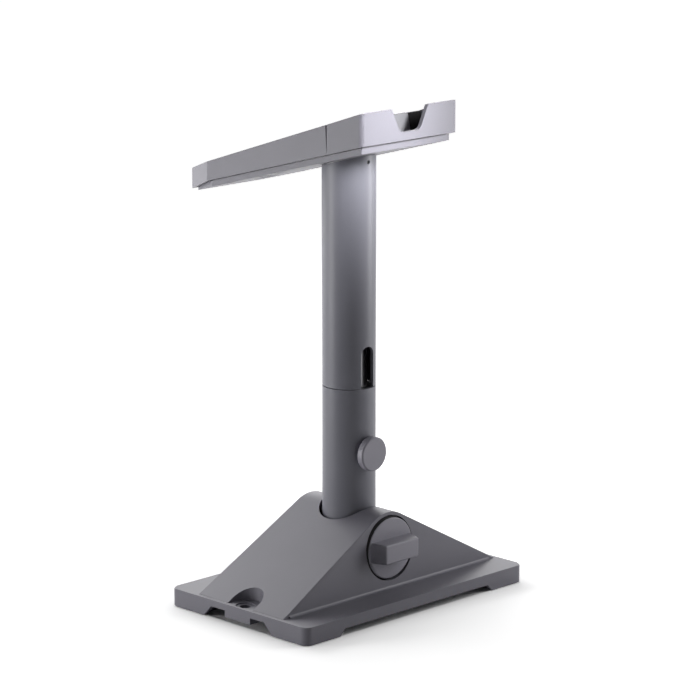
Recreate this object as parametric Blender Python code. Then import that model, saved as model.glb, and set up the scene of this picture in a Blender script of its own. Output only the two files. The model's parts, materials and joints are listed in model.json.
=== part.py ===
"""Overhead scanner stand: a weighted wedge base, a telescopic column and a slanted camera head.

Sizes are millimetres about the column axis: X runs along the base, Y along the head
towards its tip and Z up from the table. The meshes themselves are in metres.
"""

import math

import bmesh
import bpy

MM = 0.001
GAP = 0.3  # between pieces that touch
SLACK = 1.0  # how far a cutter runs past the face it opens

# Base
BASE_LENGTH = 223.0
BASE_WIDTH = 140.0
BASE_CORNER = 6.0
PLATE_TOP = 13.5
PLATE_SKIN = 4.9
RIM = 3.5
FOOT = 32.0
FOOT_LONG = 38.0
FOOT_LIFT = 0.6
SIDE_GAP_TOP = 5.4
LANE_INNER = 13.0
LANE_WIDTH = 14.0
TONGUE_LOW = 3.8
WEDGE_WIDTH = 87.2
WEDGE_DRAFT = math.tan(math.radians(4.3))
WEDGE_WALL = 3.5
WEDGE_LIP = 0.2
TOE = 3.0
NOSE_Z = 43.0
NOSE_R = 26.2
FLARE = 2.5
FLARE_BITE = 0.1
PLATE_EDGE = 0.9
WEDGE_EDGE = 0.7
COLUMN_HOLE_CLEARANCE = 2.4

# Screw-down pockets at both ends of the base
POCKET_R = 13.0
POCKET_INSET = 8.0
POCKET_HOLE = 8.0
POCKET_RING = 14.0
POCKET_RING_DEPTH = 0.8
POCKET_WALL = 3.5

# Foot pads, ballast and the socket that holds the column
PAD_R = 9.0
PAD_DEPTH = 1.6
BALLAST_THICK = 4.0
BALLAST_SCREW_X = 60.0
BALLAST_SCREW_Y = 30.0
POST_R = 4.5
SCREW_R = 2.0
SCREW_HEAD_R = 3.6
SCREW_HEAD = 2.0
SCREW_LENGTH = 10.0
SOCKET_WALL = 3.7
SOCKET_TOP = 55.0
SOCKET_FLANGE_R = 32.0
SOCKET_FLANGE = 4.0
SOCKET_SCREW_R = 27.5

# Clamp
CLAMP_R = 22.5
CLAMP_RIM = 1.3
CLAMP_PROUD = 1.0
CLAMP_DISC = 5.0
CLAMP_HUB_R = 10.0
CLAMP_HUB = 3.2
BAR_ROOT = 42.0
BAR_FRONT = 33.0
BAR_HIGH = 13.0
BAR_OUT = 11.5
SPINDLE_R = 4.0
SHOE_R = 7.7
SHOE_LONG = 7.7
SHOE_TRAVEL = 1.2
BOSS_R = 12.0
BUSH_WALL = 2.2
BUSH_LONG = 2.7

# Column
TUBE_R = 19.4
TUBE_WALL = 2.5
SEAM_Z = 157.0
SEAM = 0.5
PLUG_HIGH = 7.8
GUIDE_HIGH = 14.4
INNER_R = 13.0
INNER_WALL = 2.0
INNER_LOW = 24.0
INNER_TOP = 214.0
GLIDE_HIGH = 8.0
JOIN_HIGH = 24.0
SLOT_WIDE = 12.2
SLOT_HIGH = 30.5

# Height screw
THUMB_Z = 109.5
THUMB_R = 12.5
THUMB_THICK = 5.8
THUMB_STAND_OFF = 1.0
THUMB_BEVEL = 0.8
STEM_R = 3.0
TIP_R = 2.75
TIP_LONG = 1.7
INSERT_WALL = 1.4

# Head
HEAD_REAR_Y = -60.0
HEAD_TIP_Y = 127.0
HEAD_SHOULDER_Y = 96.5
HEAD_HALF = 47.8
HEAD_TIP_HALF = 35.5
HEAD_TOP_Z = 364.8
HEAD_TOP_SLOPE = math.tan(math.radians(18.25))
HEAD_REAR_HIGH = 23.3
HEAD_LOW_SLOPE = math.tan(math.radians(15.2))
HEAD_FILLET = 3.3
HEAD_EDGE = 0.7
HEAD_WALL = 3.0
HEAD_SPLIT_Y = -26.0
SPLIT_GAP = 0.3
SPLIT_GAP_TOP = 1.5
CHIN_DROP = 2.7
PANEL_INSET = 3.9
PANEL_THICK = 4.8
NOTCH_TOP = 36.5
NOTCH_LOW = 20.0
NOTCH_DEEP = 17.5
NOTCH_FILLET = 6.0
SPIGOT_BORE_R = 10.0
SPIGOT_LONG = 30.0
FLANGE_HALF = 30.0
FLANGE_FRONT_Y = 25.0
FLANGE_REAR_Y = -17.5
FLANGE_THICK = 3.0
SET_SCREW_DROP = 4.5
SET_SCREW_R = 1.3
PANEL_SCREW_X = 37.5
PANEL_SCREW_FRONT_Y = 84.0
PANEL_SCREW_REAR_Y = -44.0
PANEL_SCREW_R = 1.5
PANEL_SCREW_HEAD_R = 2.8
PANEL_SCREW_LONG = 7.0
BOSS_HALF = 4.0
SOCKET_PLATE_Y = -39.0
SOCKET_PLATE_THICK = 2.0
SOCKET_PLATE_TOP_X = 18.4
SOCKET_PLATE_LOW_X = 21.9
END_PLATE_THICK = 1.9
USB_X = -24.0
USB_WIDE = 12.0
USB_HIGH = 5.4
USB_LONG = 9.0
POWER_X = -4.0
POWER_R = 4.5
POWER_LONG = 10.0
SHEET = 0.8
LENS_Y = 84.0
LENS_R = 5.5
WINDOW_R = 8.0
WINDOW_THICK = 1.2
CAMERA_HALF = 9.0
CAMERA_HIGH = 6.5
LED_X = 30.0
LED_Y = 49.0
LED_HALF_X = 7.0
LED_HALF_Y = 11.0
LED_BOARD_MARGIN = 3.0
BOARD_THICK = 1.6
MAIN_HALF = 16.0
MAIN_FRONT_Y = 66.0
MAIN_RISE = 3.0

# Sizes that follow from the ones above
COLUMN_Y = -(HEAD_TIP_Y - BASE_WIDTH / 2) / 2
WEDGE_HALF = WEDGE_WIDTH / 2
TUBE_BORE = TUBE_R - TUBE_WALL
BUSHED_R = TUBE_BORE - GAP
RECESS_TOP = PLATE_TOP - PLATE_SKIN
BALLAST_LOW = RECESS_TOP + GAP
BALLAST_TOP = BALLAST_LOW + BALLAST_THICK
SOCKET_LOW = BALLAST_TOP + GAP
SOCKET_R = TUBE_R + GAP + SOCKET_WALL
POCKET_X = BASE_LENGTH / 2 - POCKET_INSET
CAVITY_X = POCKET_X - POCKET_R - POCKET_WALL
FACE_Y = -(WEDGE_HALF - WEDGE_DRAFT * (NOSE_Z - PLATE_TOP))
HUB_END_Y = FACE_Y + CLAMP_DISC + CLAMP_HUB
BOSS_END_Y = HUB_END_Y + SLACK
SHOE_BACK_Y = -(TUBE_R + GAP + SHOE_LONG)
SHOE_BORE_Y = SHOE_BACK_Y - SHOE_TRAVEL - GAP
SHOE_HOLE_Y = SHOE_BACK_Y + SHOE_LONG - 2.2
SPINDLE_END_Y = SHOE_HOLE_Y - SHOE_TRAVEL - 2 * GAP
BUSH_R = SPINDLE_R + GAP + BUSH_WALL
THUMB_BACK_Y = -(TUBE_R + THUMB_STAND_OFF)
TIP_END_Y = -(INNER_R + GAP)
STEM_END_Y = TIP_END_Y - TIP_LONG - GAP
HEAD_LOW_Z = HEAD_TOP_Z - HEAD_REAR_HIGH
SET_SCREW_Z = HEAD_LOW_Z + HEAD_LOW_SLOPE * HEAD_REAR_Y - SET_SCREW_DROP

COLOURS = {
    "grey_shell": (0.115, 0.113, 0.128, 0.5, 0.0),
    "grey_tube": (0.115, 0.113, 0.128, 0.45, 0.0),
    "grey_plastic": (0.10, 0.10, 0.112, 0.5, 0.0),
    "dark_plastic": (0.012, 0.012, 0.013, 0.45, 0.0),
    "dark_steel": (0.03, 0.03, 0.033, 0.3, 1.0),
    "steel": (0.42, 0.42, 0.43, 0.35, 1.0),
    "alloy": (0.55, 0.55, 0.56, 0.4, 1.0),
    "brass": (0.60, 0.42, 0.16, 0.35, 1.0),
    "rubber": (0.02, 0.02, 0.02, 0.85, 0.0),
    "light_plate": (0.38, 0.38, 0.40, 0.45, 0.0),
    "board_green": (0.02, 0.10, 0.05, 0.5, 0.0),
    "diffuser": (0.82, 0.82, 0.80, 0.4, 0.0),
    "lens_glass": (0.02, 0.025, 0.03, 0.05, 0.0),
}

# Joint points of the bodies that move
BODIES = {
    "base": (0.0, 0.0, 0.0),
    "clamp_knob": (0.0, FACE_Y, NOSE_Z),
    "clamp_shoe": (0.0, SHOE_BACK_Y, NOSE_Z),
    "column": (0.0, 0.0, SOCKET_LOW),
    "thumb_tip": (0.0, TIP_END_Y, THUMB_Z),
    "thumb_screw": (0.0, THUMB_BACK_Y, THUMB_Z),
    "mast": (0.0, 0.0, SEAM_Z),
}


def clear_scene():
    """Remove every object of the startup scene."""
    for obj in list(bpy.data.objects):
        bpy.data.objects.remove(obj, do_unlink=True)


def make_bodies():
    """Add one empty on each joint axis, all held by an empty on the column axis."""
    root = bpy.data.objects.new("column_axis", None)
    bpy.context.scene.collection.objects.link(root)
    root.location = (0.0, COLUMN_Y * MM, 0.0)
    for name, point in BODIES.items():
        empty = bpy.data.objects.new(f"axis_{name}", None)
        bpy.context.scene.collection.objects.link(empty)
        empty.parent = root
        empty.location = [value * MM for value in point]


def material(slot):
    """Return the Principled material of a slot, made on first use."""
    found = bpy.data.materials.get(slot)
    if found:
        return found
    red, green, blue, rough, metal = COLOURS[slot]
    made = bpy.data.materials.new(slot)
    made.use_nodes = True
    shader = made.node_tree.nodes["Principled BSDF"]
    shader.inputs["Base Color"].default_value = (red, green, blue, 1.0)
    shader.inputs["Roughness"].default_value = rough
    shader.inputs["Metallic"].default_value = metal
    return made


def add(name, bm, body, slot=None):
    """Turn a bmesh in millimetres into an object of a body; without a slot it is a cutter."""
    bmesh.ops.recalc_face_normals(bm, faces=bm.faces)
    bmesh.ops.scale(bm, vec=(MM, MM, MM), verts=bm.verts)
    mesh = bpy.data.meshes.new(name)
    bm.to_mesh(mesh)
    bm.free()
    mesh.shade_smooth()
    mesh.set_sharp_from_angle(angle=math.radians(32))
    obj = bpy.data.objects.new(name, mesh)
    bpy.context.scene.collection.objects.link(obj)
    obj.parent = bpy.data.objects[f"axis_{body}"]
    obj.location = [-value * MM for value in BODIES[body]]
    if slot:
        mesh.materials.append(material(slot))
    else:
        obj.hide_render = True
        obj.display_type = "WIRE"
    return obj


def combine(obj, others, operation):
    """Give an object one exact Boolean for each of the others."""
    for other in others:
        modifier = obj.modifiers.new(other.name, "BOOLEAN")
        modifier.operation = operation
        modifier.solver = "EXACT"
        modifier.object = other
    return obj


def cut(obj, *cutters):
    """Take the cutters away from an object."""
    return combine(obj, cutters, "DIFFERENCE")


def join(obj, *others):
    """Add helper solids to an object."""
    return combine(obj, others, "UNION")


def height(value, y):
    """Read a height that is either one number or a function of Y."""
    return value(y) if callable(value) else value


def slab(outline, low, high):
    """Close a plan outline between two heights, each a number or a function of Y."""
    bm = bmesh.new()
    floor = [bm.verts.new((x, y, height(low, y))) for x, y in outline]
    roof = [bm.verts.new((x, y, height(high, y))) for x, y in outline]
    bm.faces.new(floor)
    bm.faces.new(roof)
    for i in range(len(outline)):
        j = (i + 1) % len(outline)
        bm.faces.new((floor[i], floor[j], roof[j], roof[i]))
    return bm


def bar_y(outline, rear, front):
    """Run an outline in X and Z along Y."""
    bm = slab(outline, rear, front)
    for vert in bm.verts:
        x, z, y = vert.co
        vert.co = (x, y, z)
    return bm


def bar_x(outline, left, right):
    """Run an outline in Y and Z along X."""
    bm = slab(outline, left, right)
    for vert in bm.verts:
        y, z, x = vert.co
        vert.co = (x, y, z)
    return bm


def turned(profile, steps, centre=(0.0, 0.0), along_y=False):
    """Turn a profile of (radius, height) about an axis along Z or Y; a zero radius closes an end."""
    bm = bmesh.new()
    rings = []
    for radius, at in profile:
        ring = []
        for u, v in circle(radius, steps, centre) if radius else []:
            ring.append(bm.verts.new((u, at, v) if along_y else (u, v, at)))
        rings.append(ring)
    for first, second in zip(rings, rings[1:] + rings[:1]):
        if first and second:
            for k in range(steps):
                j = (k + 1) % steps
                bm.faces.new((first[k], first[j], second[j], second[k]))
        elif first or second:
            bm.faces.new(first or second)
    return bm


def rod(radius, low, high, steps=32, centre=(0.0, 0.0), along_y=False, bevel=0.0):
    """Make a solid cylinder, with an optional bevel on both rims."""
    profile = [(0.0, low), (radius - bevel, low), (radius, low + bevel),
               (radius, high - bevel), (radius - bevel, high), (0.0, high)]
    if not bevel:
        profile = [(0.0, low), (radius, low), (radius, high), (0.0, high)]
    return turned(profile, steps, centre, along_y)


def tube(bore, radius, low, high, steps=48, centre=(0.0, 0.0), along_y=False):
    """Make a plain tube."""
    profile = [(bore, low), (radius, low), (radius, high), (bore, high)]
    return turned(profile, steps, centre, along_y)


def rectangle(x0, y0, x1, y1):
    """Return the four corners of a rectangle."""
    return [(x0, y0), (x1, y0), (x1, y1), (x0, y1)]


def circle(radius, steps, centre=(0.0, 0.0)):
    """Return the points of a circle."""
    angles = [2 * math.pi * k / steps for k in range(steps)]
    return [(centre[0] + radius * math.cos(a), centre[1] + radius * math.sin(a)) for a in angles]


def rounded(points, radii, steps=5):
    """Round the corners of an outline; a radius of zero keeps a corner sharp."""
    out = []
    for i, (x, y) in enumerate(points):
        radius = radii[i]
        if not radius:
            out.append((x, y))
            continue
        before, after = points[i - 1], points[(i + 1) % len(points)]
        ux, uy = unit(before[0] - x, before[1] - y)
        vx, vy = unit(after[0] - x, after[1] - y)
        half = math.acos(max(-1.0, min(1.0, ux * vx + uy * vy))) / 2
        mx, my = unit(ux + vx, uy + vy)
        reach = radius / math.sin(half)
        cx, cy = x + mx * reach, y + my * reach
        start = math.atan2(y + uy * radius / math.tan(half) - cy, x + ux * radius / math.tan(half) - cx)
        end = math.atan2(y + vy * radius / math.tan(half) - cy, x + vx * radius / math.tan(half) - cx)
        turn = (end - start + math.pi) % (2 * math.pi) - math.pi
        for k in range(steps + 1):
            angle = start + turn * k / steps
            out.append((cx + radius * math.cos(angle), cy + radius * math.sin(angle)))
    return out


def unit(x, y):
    """Return a plan vector of length one."""
    size = math.hypot(x, y)
    return x / size, y / size


def slope_angle():
    """Return how far the slope's normal leans from upright, tangent to the nose."""
    across = BASE_LENGTH / 2 - TOE
    down = PLATE_TOP + WEDGE_LIP - NOSE_Z
    return math.atan2(across, down) - math.acos(NOSE_R / math.hypot(across, down))


def slope_z(x, inset=0.0):
    """Return the height of the slope, or of a face inset below it, at a distance from the column."""
    lean = slope_angle()
    return NOSE_Z + (NOSE_R - inset - abs(x) * math.sin(lean)) / math.cos(lean)


def wedge_profile(inset, end_x, low):
    """Return the wedge's outline in X and Z: two slopes tangent to a round nose."""
    lean = slope_angle()
    steps = 14
    points = [(-end_x, low), (end_x, low), (end_x, slope_z(end_x, inset))]
    for k in range(steps + 1):
        angle = lean - 2 * lean * k / steps
        points.append(((NOSE_R - inset) * math.sin(angle), NOSE_Z + (NOSE_R - inset) * math.cos(angle)))
    return points + [(-end_x, slope_z(end_x, inset))]


def corners(x, y):
    """Return the four points at plus and minus x and y."""
    return [(x, y), (-x, y), (-x, -y), (x, -y)]


def soften(bm, radius, wanted):
    """Round the edges whose middle passes a test of its place."""
    edges = [edge for edge in bm.edges if wanted((edge.verts[0].co + edge.verts[1].co) / 2)]
    bmesh.ops.bevel(bm, geom=edges, offset=radius, segments=2, profile=0.5, affect="EDGES", material=-1)
    return bm


def base_housing():
    """Build the base's upper moulding: plate and wedge in one, hollow and open below."""
    half_x, half_y = BASE_LENGTH / 2, BASE_WIDTH / 2
    outline = rounded(rectangle(-half_x, -half_y, half_x, half_y), [BASE_CORNER] * 4)
    plate = soften(slab(outline, RECESS_TOP, PLATE_TOP), PLATE_EDGE, lambda co: co.z > PLATE_TOP - GAP)
    housing = add("base_housing", plate, "base", "grey_shell")
    wedge = bar_y(wedge_profile(0.0, half_x - TOE, RECESS_TOP + SLACK), -WEDGE_HALF, WEDGE_HALF)
    drafted(wedge)
    soften(wedge, WEDGE_EDGE, lambda co: co.z > PLATE_TOP and abs(co.y) > SOCKET_R)
    join(housing, add("wedge_body", wedge, "base"))
    for side in (-1, 1):
        join(housing, flare(side))
    cut(housing, wedge_cavity(), column_hole(), clamp_hole())
    for side in (-1, 1):
        notch = slab(pocket_outline(side, 0.0, SLACK), RECESS_TOP - SLACK, NOSE_Z)
        cut(housing, add(f"pocket_{side}", notch, "base"))


def drafted(bm):
    """Lean both triangular faces in towards the ridge by the moulding's draft."""
    for vert in bm.verts:
        vert.co.y -= math.copysign(1.0, vert.co.y) * WEDGE_DRAFT * (vert.co.z - PLATE_TOP)
    return bm


def flare(side):
    """Build the concave fillet between the plate and one triangular face, let a little into both."""
    end_x = BASE_LENGTH / 2 - TOE - FLARE * 2.4
    points = [(side * (WEDGE_HALF - SLACK), PLATE_TOP - SLACK)]
    points.append((side * (WEDGE_HALF + FLARE), PLATE_TOP - SLACK))
    for k in range(6):
        angle = math.pi / 2 * k / 5
        out = FLARE * (1 - math.sin(angle)) - FLARE_BITE
        up = FLARE * (1 - math.cos(angle))
        points.append((side * (WEDGE_HALF + out), PLATE_TOP + up))
    points.append((side * (WEDGE_HALF - SLACK), PLATE_TOP + FLARE))
    return add(f"flare_{side}", drafted(bar_x(points, -end_x, end_x)), "base")


def wedge_cavity():
    """Build the hollow of the wedge, with four posts and their screw holes left standing."""
    profile = wedge_profile(WEDGE_WALL, CAVITY_X, -SLACK)
    half_y = WEDGE_HALF - WEDGE_WALL
    cavity = add("wedge_cavity", drafted(bar_y(profile, -half_y, half_y)), "base")
    for i, point in enumerate(corners(BALLAST_SCREW_X, BALLAST_SCREW_Y)):
        post = tube(SCREW_R + GAP, POST_R, BALLAST_TOP + GAP, NOSE_Z, 14, point)
        cut(cavity, add(f"post_{i}", post, "base"))
    return cavity


def foot_rails():
    """Build the two rails under the plate's long sides, each with a foot at both ends."""
    half_x, half_y = BASE_LENGTH / 2, BASE_WIDTH / 2
    inner = LANE_INNER + LANE_WIDTH
    gap = side_gap()
    for side, word in ((-1, "front"), (1, "back")):
        outline = rounded(rectangle(-half_x, inner, half_x, half_y), [0, 0, BASE_CORNER, BASE_CORNER])
        outline = [(x, side * y) for x, y in outline]
        rail = add(f"foot_rail_{word}", slab(outline, FOOT_LIFT, RECESS_TOP - GAP), "base", "grey_shell")
        cut(rail, rail_recess(side), gap, lane_side(side))
        for x in (FOOT / 2 - half_x, half_x - FOOT / 2):
            seat = rod(PAD_R + GAP, -SLACK, FOOT_LIFT + PAD_DEPTH, 20, (x, side * (half_y - FOOT / 2)))
            cut(rail, add(f"pad_seat_{word}_{x:.0f}", seat, "base"))


def rail_recess(side):
    """Build the hollow that leaves a rail its outer walls and its two feet."""
    x, y = BASE_LENGTH / 2 - RIM, BASE_WIDTH / 2 - RIM
    fx, fy = BASE_LENGTH / 2 - FOOT_LONG, BASE_WIDTH / 2 - FOOT
    tee = [(-x, 0.0), (x, 0.0), (x, fy), (fx, fy), (fx, y), (-fx, y), (-fx, fy), (-x, fy)]
    return add(f"rail_recess_{side}", slab([(u, side * v) for u, v in tee], -SLACK, RECESS_TOP), "base")


def side_gap():
    """Build the low opening between the feet under each long side."""
    edge = BASE_LENGTH / 2 - FOOT_LONG
    flat = SIDE_GAP_TOP + SLACK
    side = [(-edge - flat, -SLACK), (edge + flat, -SLACK), (edge, SIDE_GAP_TOP), (-edge, SIDE_GAP_TOP)]
    return add("side_gap", bar_y(side, -BASE_WIDTH, BASE_WIDTH), "base")


def lane_side(side):
    """Build the slanted side of the cable lane along one rail."""
    inner = LANE_INNER + LANE_WIDTH
    foot = side * (inner + RECESS_TOP + SLACK)
    lane = [(0.0, -SLACK), (foot, -SLACK), (side * inner, RECESS_TOP), (0.0, RECESS_TOP)]
    return add(f"lane_{side}", bar_x(lane, -BASE_LENGTH, BASE_LENGTH), "base")


def screw_feet():
    """Build the tongue that floors each screw-down pocket, with its screw hole and seat ring."""
    for side, word in ((-1, "left"), (1, "right")):
        x = side * POCKET_X
        foot = slab(pocket_outline(side, GAP, 0.0), TONGUE_LOW, PLATE_TOP)
        foot = add(f"screw_foot_{word}", foot, "base", "grey_shell")
        hole = rod(POCKET_HOLE / 2, -SLACK, PLATE_TOP + SLACK, 28, (x, 0))
        ring = rod(POCKET_RING / 2, PLATE_TOP - POCKET_RING_DEPTH, PLATE_TOP + SLACK, 36, (x, 0))
        cut(foot, add(f"pocket_ring_{side}", ring, "base"), add(f"pocket_hole_{side}", hole, "base"))


def pocket_outline(side, inset, past):
    """Return a pocket's plan: round at its inner end and open at the base's end."""
    radius = POCKET_R - inset
    out = side * (BASE_LENGTH / 2 + past)
    outline = [(out, -radius), (out, radius)]
    for k in range(25):
        angle = math.pi / 2 + math.pi * k / 24
        outline.append((side * (POCKET_X + radius * math.cos(angle)), radius * math.sin(angle)))
    return outline


def column_hole():
    """Build the hole in the ridge that the column passes through."""
    hole = rod(TUBE_R + COLUMN_HOLE_CLEARANCE, NOSE_Z, NOSE_Z + NOSE_R + SLACK, 56)
    return add("column_hole", hole, "base")


def clamp_hole():
    """Build the round opening for the clamp knob."""
    hole = rod(CLAMP_R + CLAMP_RIM, FACE_Y - FLARE, FACE_Y + CLAMP_DISC + SLACK, 56, (0, NOSE_Z), True)
    return add("clamp_hole", hole, "base")


def foot_pads():
    """Build the four rubber pads in the corner feet."""
    points = corners(BASE_LENGTH / 2 - FOOT / 2, BASE_WIDTH / 2 - FOOT / 2)
    for i, point in enumerate(points, 1):
        pad = rod(PAD_R, 0.0, FOOT_LIFT + PAD_DEPTH - GAP, 20, point, bevel=GAP)
        add(f"foot_pad_{i}", pad, "base", "rubber")


def ballast_plate():
    """Build the steel plate that weights the base and carries the column socket."""
    half_y = WEDGE_HALF - WEDGE_WALL - GAP
    half_x = CAVITY_X - GAP
    outline = rounded(rectangle(-half_x, -half_y, half_x, half_y), [2.0] * 4, 3)
    plate = add("ballast_plate", slab(outline, BALLAST_LOW, BALLAST_TOP), "base", "steel")
    for i, point in enumerate(screw_points()):
        hole = rod(SCREW_R + GAP, BALLAST_LOW - SLACK, BALLAST_TOP + SLACK, 12, point)
        seat = rod(SCREW_HEAD_R + GAP, BALLAST_LOW - SLACK, BALLAST_LOW + SCREW_HEAD, 14, point)
        cut(plate, add(f"plate_hole_{i}", hole, "base"), add(f"plate_seat_{i}", seat, "base"))


def screw_points():
    """Return the ballast screws' points and then the socket screws' points."""
    reach = SOCKET_SCREW_R * math.sqrt(0.5)
    return corners(BALLAST_SCREW_X, BALLAST_SCREW_Y) + corners(reach, reach)


def base_screws():
    """Build the screws that hold the ballast to the housing and the socket to the ballast."""
    for i, point in enumerate(screw_points()):
        ballast = i < 4
        name = f"ballast_screw_{i + 1}" if ballast else f"socket_screw_{i - 3}"
        end = BALLAST_LOW + SCREW_LENGTH if ballast else SOCKET_LOW + SOCKET_FLANGE - GAP
        low, seat = BALLAST_LOW, BALLAST_LOW + SCREW_HEAD - GAP
        profile = [(0, low + 1.2), (1.2, low + 1.2), (1.2, low), (SCREW_HEAD_R, low),
                   (SCREW_HEAD_R, seat), (SCREW_R, seat), (SCREW_R, end), (0, end)]
        add(name, turned(profile, 12, point), "base", "steel")


def column_socket():
    """Build the flanged sleeve round the column's foot, with the boss that guides the clamp shoe."""
    bore = TUBE_R + GAP
    step = SOCKET_LOW + SOCKET_FLANGE
    profile = [(bore, SOCKET_LOW), (SOCKET_FLANGE_R, SOCKET_LOW), (SOCKET_FLANGE_R, step),
               (SOCKET_R, step), (SOCKET_R, SOCKET_TOP), (bore, SOCKET_TOP)]
    socket = add("column_socket", turned(profile, 40), "base", "dark_plastic")
    at = (0.0, NOSE_Z)
    boss = add("shoe_boss", rod(BOSS_R, BOSS_END_Y, -bore - SLACK, 28, at, True), "base")
    join(socket, boss)
    guide = rod(SHOE_R + GAP, SHOE_BORE_Y, 0.0, 24, at, True)
    seat = rod(BUSH_R + GAP, BOSS_END_Y - SLACK, SHOE_BORE_Y + SLACK, 24, at, True)
    cut(socket, add("shoe_guide", guide, "base"), add("bush_seat", seat, "base"))
    for i, point in enumerate(screw_points()[4:]):
        hole = rod(SCREW_R + GAP, SOCKET_LOW - SLACK, SOCKET_LOW + SOCKET_FLANGE + SLACK, 12, point)
        cut(socket, add(f"flange_hole_{i}", hole, "base"))


def spindle_bush():
    """Build the bush that carries the clamp spindle in the socket's boss."""
    rear = SHOE_BORE_Y - GAP
    ring = tube(SPINDLE_R + GAP, BUSH_R, rear - BUSH_LONG, rear, 28, (0.0, NOSE_Z), True)
    add("spindle_bush", ring, "base", "brass")


def clamp_knob():
    """Build the clamp's flush disc with its tapered grip bar and hub."""
    at = (0.0, NOSE_Z)
    disc_end = FACE_Y + CLAMP_DISC
    front = FACE_Y - CLAMP_PROUD
    profile = [(0, front), (CLAMP_R - 0.6, front), (CLAMP_R, front + 0.6), (CLAMP_R, disc_end),
               (CLAMP_HUB_R, disc_end), (CLAMP_HUB_R, HUB_END_Y), (0, HUB_END_Y)]
    knob = add("clamp_knob", turned(profile, 56, at, True), "clamp_knob", "grey_plastic")
    join(knob, add("grip_bar", grip_bar(), "clamp_knob"))
    hole = rod(SPINDLE_R + GAP, disc_end - CLAMP_DISC / 2, HUB_END_Y + SLACK, 28, at, True)
    cut(knob, add("spindle_hole", hole, "clamp_knob"))


def grip_bar():
    """Build the grip bar, shorter at its front than at its root."""
    low, high = NOSE_Z - BAR_HIGH / 2, NOSE_Z + BAR_HIGH / 2
    root, front = FACE_Y + SLACK, FACE_Y - BAR_OUT
    bm = bmesh.new()
    back = [bm.verts.new((x * BAR_ROOT / 2, root, z)) for x, z in rectangle(-1, low, 1, high)]
    face = [bm.verts.new((x * BAR_FRONT / 2, front, z)) for x, z in rectangle(-1, low + 0.5, 1, high - 0.5)]
    bm.faces.new(back)
    bm.faces.new(face)
    for i in range(4):
        j = (i + 1) % 4
        bm.faces.new((back[i], back[j], face[j], face[i]))
    bmesh.ops.recalc_face_normals(bm, faces=bm.faces)
    edges = [edge for edge in bm.edges if min(v.co.y for v in edge.verts) < root - SLACK]
    bmesh.ops.bevel(bm, geom=edges, offset=0.9, segments=2, profile=0.5, affect="EDGES", material=-1)
    return bm


def clamp_spindle():
    """Build the spindle between the knob and the shoe."""
    start = FACE_Y + CLAMP_DISC / 2 + GAP
    shaft = rod(SPINDLE_R, start, SPINDLE_END_Y, 28, (0.0, NOSE_Z), True)
    add("clamp_spindle", shaft, "clamp_knob", "steel")


def clamp_shoe():
    """Build the shoe that presses on the column, hollowed to the tube and drilled for the spindle."""
    at = (0.0, NOSE_Z)
    shoe = rod(SHOE_R, SHOE_BACK_Y, -TUBE_R / 2, 32, at, True)
    shoe = add("clamp_shoe", shoe, "clamp_shoe", "dark_plastic")
    face = rod(TUBE_R + GAP, NOSE_Z - BOSS_R, NOSE_Z + BOSS_R, 48)
    hole = rod(SPINDLE_R + GAP, SHOE_BACK_Y - SLACK, SHOE_HOLE_Y, 28, at, True)
    cut(shoe, add("shoe_face", face, "clamp_shoe"), add("shoe_hole", hole, "clamp_shoe"))


def lower_tube():
    """Build the lower tube with the bore for the height screw's insert, its plug and its guide bush."""
    top = SEAM_Z - SEAM / 2
    low = SOCKET_LOW
    lower = add("lower_tube", tube(TUBE_BORE, TUBE_R, low, top, 56), "column", "grey_tube")
    radius = STEM_R + GAP + INSERT_WALL + GAP
    hole = rod(radius, -TUBE_R - SLACK, -TUBE_BORE + 2 * SLACK, 28, (0, THUMB_Z), True)
    cut(lower, add("insert_hole", hole, "column"))
    add("tube_plug", rod(BUSHED_R, low, low + PLUG_HIGH, 28, bevel=0.5), "column", "dark_plastic")
    bush = tube(INNER_R + GAP, BUSHED_R, top - GAP - GUIDE_HIGH, top - GAP, 36)
    add("guide_bush", bush, "column", "dark_plastic")
    bore = STEM_R + GAP
    insert = tube(bore, bore + INSERT_WALL, -TUBE_R, -TUBE_BORE - GAP, 28, (0, THUMB_Z), True)
    add("thumb_insert", insert, "column", "brass")


def height_screw():
    """Build the height screw: a plain round knob, its stem and the soft tip that bears on the mast."""
    at = (0.0, THUMB_Z)
    front = THUMB_BACK_Y - THUMB_THICK
    deep = THUMB_BACK_Y - THUMB_THICK / 2
    knob = rod(THUMB_R, front, THUMB_BACK_Y, 48, at, True, THUMB_BEVEL)
    knob = add("thumb_knob", knob, "thumb_screw", "grey_plastic")
    cut(knob, add("stem_hole", rod(STEM_R + GAP, deep, THUMB_BACK_Y + SLACK, 24, at, True), "thumb_screw"))
    add("thumb_stem", rod(STEM_R, deep + GAP, STEM_END_Y, 24, at, True), "thumb_screw", "steel")
    add("thumb_tip", rod(TIP_R, TIP_END_Y - TIP_LONG, TIP_END_Y, 24, at, True), "thumb_tip", "dark_plastic")


def head_top(y):
    """Return the height of the head's sloping top."""
    return HEAD_TOP_Z - HEAD_TOP_SLOPE * (y - HEAD_REAR_Y)


def shell_low(y):
    """Return the height of the shells' sloping lower edge."""
    return HEAD_LOW_Z - HEAD_LOW_SLOPE * (y - HEAD_REAR_Y)


def panel_low(y):
    """Return the height of the bottom panel's lower face."""
    return shell_low(y) - PANEL_THICK


def chin_low(y):
    """Return the height of the front shell's lower edge round the tip, where it drops over the panel."""
    return shell_low(y) - CHIN_DROP * (y - HEAD_SHOULDER_Y) / (HEAD_TIP_Y - HEAD_SHOULDER_Y)


def above(plane, by):
    """Return a plane raised by a distance."""
    return lambda y: plane(y) + by


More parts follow.
